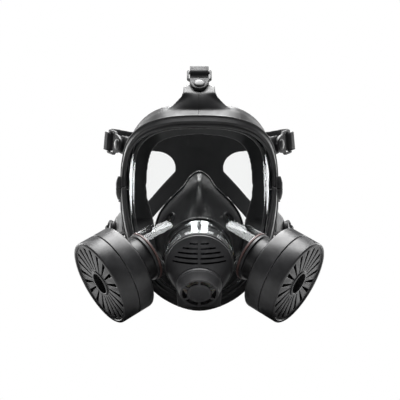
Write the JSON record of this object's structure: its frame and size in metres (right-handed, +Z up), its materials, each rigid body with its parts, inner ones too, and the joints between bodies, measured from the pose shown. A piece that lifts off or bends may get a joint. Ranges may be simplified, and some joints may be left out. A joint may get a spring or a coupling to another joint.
{
  "type": "full face respirator",
  "caption": "Full-face respirator mask with a panoramic clear visor, strap harness, nose cup, louvred speech cover and screw-in round canister filters.",
  "frame": {"origin": "inside the wearer's head, level with the eyes and in line with the temples, where the head holds the mask", "axes": "+X across the face to the viewer's right, +Y back towards the head, +Z up"},
  "size_m": [0.246, 0.2421, 0.261],
  "materials": {
    "black_rubber": "matte moulded rubber with a faint sheen",
    "black_silicone": "smooth satin",
    "black_plastic": "fine moulded grain",
    "clear_polycarbonate": "polished clear",
    "pink_gasket": "satin",
    "pale_silicone": "satin",
    "diaphragm_film": "thin film",
    "steel": "black oxide",
    "strap_rubber": "matte, lightly ribbed",
    "filter_media": "dark fleece over a charcoal bed"
  },
  "bodies": {
    "facepiece_assembly": {"facepiece": "black_rubber", "visor": "clear_polycarbonate", "visor_frame_upper": "black_plastic", "visor_frame_lower": "black_plastic", "frame_screw_left": "steel", "frame_screw_right": "steel", "nose_cup": "black_silicone", "nose_cup_valve_seat_left": "black_plastic", "nose_cup_valve_seat_right": "black_plastic", "speech_housing": "black_plastic", "housing_lock_ring": "black_plastic", "housing_gasket": "black_silicone", "speech_diaphragm": "diaphragm_film", "diaphragm_ring": "black_plastic", "front_cover": "black_plastic", "exhalation_valve_seat": "black_plastic", "exhalation_valve_cover": "black_plastic", "port_connector_left": "black_plastic", "port_connector_right": "black_plastic", "port_gasket_left": "pink_gasket", "port_gasket_right": "pink_gasket", "head_harness": "strap_rubber", "buckle_rivet_top": "black_plastic", "buckle_rivet_temple_left": "black_plastic", "buckle_rivet_temple_right": "black_plastic", "buckle_rivet_lower_left": "black_plastic", "buckle_rivet_lower_right": "black_plastic"},
    "buckle_top": {"buckle_frame_top": "black_plastic", "strap_loop_top": "strap_rubber"},
    "roller_top": {"buckle_roller_top": "steel"},
    "buckle_temple_left": {"buckle_frame_temple_left": "black_plastic", "strap_loop_temple_left": "strap_rubber"},
    "roller_temple_left": {"buckle_roller_temple_left": "steel"},
    "buckle_temple_right": {"buckle_frame_temple_right": "black_plastic", "strap_loop_temple_right": "strap_rubber"},
    "roller_temple_right": {"buckle_roller_temple_right": "steel"},
    "buckle_lower_left": {"buckle_frame_lower_left": "black_plastic", "strap_loop_lower_left": "strap_rubber"},
    "roller_lower_left": {"buckle_roller_lower_left": "steel"},
    "buckle_lower_right": {"buckle_frame_lower_right": "black_plastic", "strap_loop_lower_right": "strap_rubber"},
    "roller_lower_right": {"buckle_roller_lower_right": "steel"},
    "filter_carrier_left": {"filter_gasket_left": "black_silicone"},
    "filter_left": {"filter_housing_left": "black_plastic", "filter_front_cover_left": "black_plastic", "filter_media_left": "filter_media"},
    "inhalation_disc_left": {"inhalation_valve_disc_left": "pale_silicone"},
    "nose_cup_disc_left": {"nose_cup_valve_disc_left": "pale_silicone"},
    "filter_carrier_right": {"filter_gasket_right": "black_silicone"},
    "filter_right": {"filter_housing_right": "black_plastic", "filter_front_cover_right": "black_plastic", "filter_media_right": "filter_media"},
    "inhalation_disc_right": {"inhalation_valve_disc_right": "pale_silicone"},
    "nose_cup_disc_right": {"nose_cup_valve_disc_right": "pale_silicone"},
    "exhalation_disc": {"exhalation_valve_disc": "pale_silicone"}
  },
  "joints": [
    {"name": "buckle_swivel_top", "type": "hinge", "parent": "facepiece_assembly", "child": "buckle_top", "pos_m": [0, -0.03, 0.1075], "axis": [0, -0.6691, 0.7431], "range_deg": [-12, 12]},
    {"name": "roller_spin_top", "type": "hinge", "parent": "buckle_top", "child": "roller_top", "pos_m": [0, -0.01536, 0.12337], "axis": [1, 0, 0], "continuous": true},
    {"name": "buckle_swivel_temple_left", "type": "hinge", "parent": "facepiece_assembly", "child": "buckle_temple_left", "pos_m": [-0.085, 0.007, 0.049], "axis": [-0.8571, -0.5151, 0], "range_deg": [-12, 12]},
    {"name": "roller_spin_temple_left", "type": "hinge", "parent": "buckle_temple_left", "child": "roller_temple_left", "pos_m": [-0.09756, 0.02402, 0.05335], "axis": [0.1041, -0.1733, 0.9794], "continuous": true},
    {"name": "buckle_swivel_temple_right", "type": "hinge", "parent": "facepiece_assembly", "child": "buckle_temple_right", "pos_m": [0.085, 0.007, 0.049], "axis": [0.8571, -0.5151, 0], "range_deg": [-12, 12]},
    {"name": "roller_spin_temple_right", "type": "hinge", "parent": "buckle_temple_right", "child": "roller_temple_right", "pos_m": [0.09756, 0.02402, 0.05335], "axis": [0.1041, 0.1733, -0.9794], "continuous": true},
    {"name": "buckle_swivel_lower_left", "type": "hinge", "parent": "facepiece_assembly", "child": "buckle_lower_left", "pos_m": [-0.0925, 0.022, -0.042], "axis": [-0.9707, -0.2402, 0], "range_deg": [-5, 5]},
    {"name": "roller_spin_lower_left", "type": "hinge", "parent": "buckle_lower_left", "child": "roller_lower_left", "pos_m": [-0.09937, 0.04142, -0.04847], "axis": [-0.0723, 0.2921, 0.9537], "continuous": true},
    {"name": "buckle_swivel_lower_right", "type": "hinge", "parent": "facepiece_assembly", "child": "buckle_lower_right", "pos_m": [0.0925, 0.022, -0.042], "axis": [0.9707, -0.2402, 0], "range_deg": [-5, 5]},
    {"name": "roller_spin_lower_right", "type": "hinge", "parent": "buckle_lower_right", "child": "roller_lower_right", "pos_m": [0.09937, 0.04142, -0.04847], "axis": [-0.0723, -0.2921, -0.9537], "continuous": true},
    {"name": "filter_travel_left", "type": "slide", "parent": "facepiece_assembly", "child": "filter_carrier_left", "axis": [-0.7808, -0.4348, -0.4487], "range_m": [0, 0.011]},
    {"name": "filter_turn_left", "type": "hinge", "parent": "filter_carrier_left", "child": "filter_left", "pos_m": [-0.0514, -0.082, -0.0657], "axis": [-0.7808, -0.4348, -0.4487], "range_deg": [0, 1080]},
    {"name": "inhalation_valve_lift_left", "type": "slide", "parent": "facepiece_assembly", "child": "inhalation_disc_left", "axis": [0.7808, 0.4348, 0.4487], "range_m": [0, 0.0025], "stiffness_N_per_m": 20},
    {"name": "nose_cup_valve_lift_left", "type": "slide", "parent": "facepiece_assembly", "child": "nose_cup_disc_left", "axis": [0.76, 0.52, -0.39], "range_m": [0, 0.002], "stiffness_N_per_m": 20},
    {"name": "filter_travel_right", "type": "slide", "parent": "facepiece_assembly", "child": "filter_carrier_right", "axis": [0.7808, -0.4348, -0.4487], "range_m": [0, 0.011]},
    {"name": "filter_turn_right", "type": "hinge", "parent": "filter_carrier_right", "child": "filter_right", "pos_m": [0.0514, -0.082, -0.0657], "axis": [0.7808, -0.4348, -0.4487], "range_deg": [0, 1080]},
    {"name": "inhalation_valve_lift_right", "type": "slide", "parent": "facepiece_assembly", "child": "inhalation_disc_right", "axis": [-0.7808, 0.4348, 0.4487], "range_m": [0, 0.0025], "stiffness_N_per_m": 20},
    {"name": "nose_cup_valve_lift_right", "type": "slide", "parent": "facepiece_assembly", "child": "nose_cup_disc_right", "axis": [-0.76, 0.52, -0.39], "range_m": [0, 0.002], "stiffness_N_per_m": 20},
    {"name": "exhalation_valve_lift", "type": "slide", "parent": "facepiece_assembly", "child": "exhalation_disc", "axis": [0, -0.7547, -0.6561], "range_m": [0, 0.0025], "stiffness_N_per_m": 20}
  ],
  "couplings": [
    {"joint": "filter_travel_left", "follows": "filter_turn_left", "m_per_rad": 0.00057773},
    {"joint": "filter_travel_right", "follows": "filter_turn_right", "m_per_rad": 0.00057773}
  ]
}
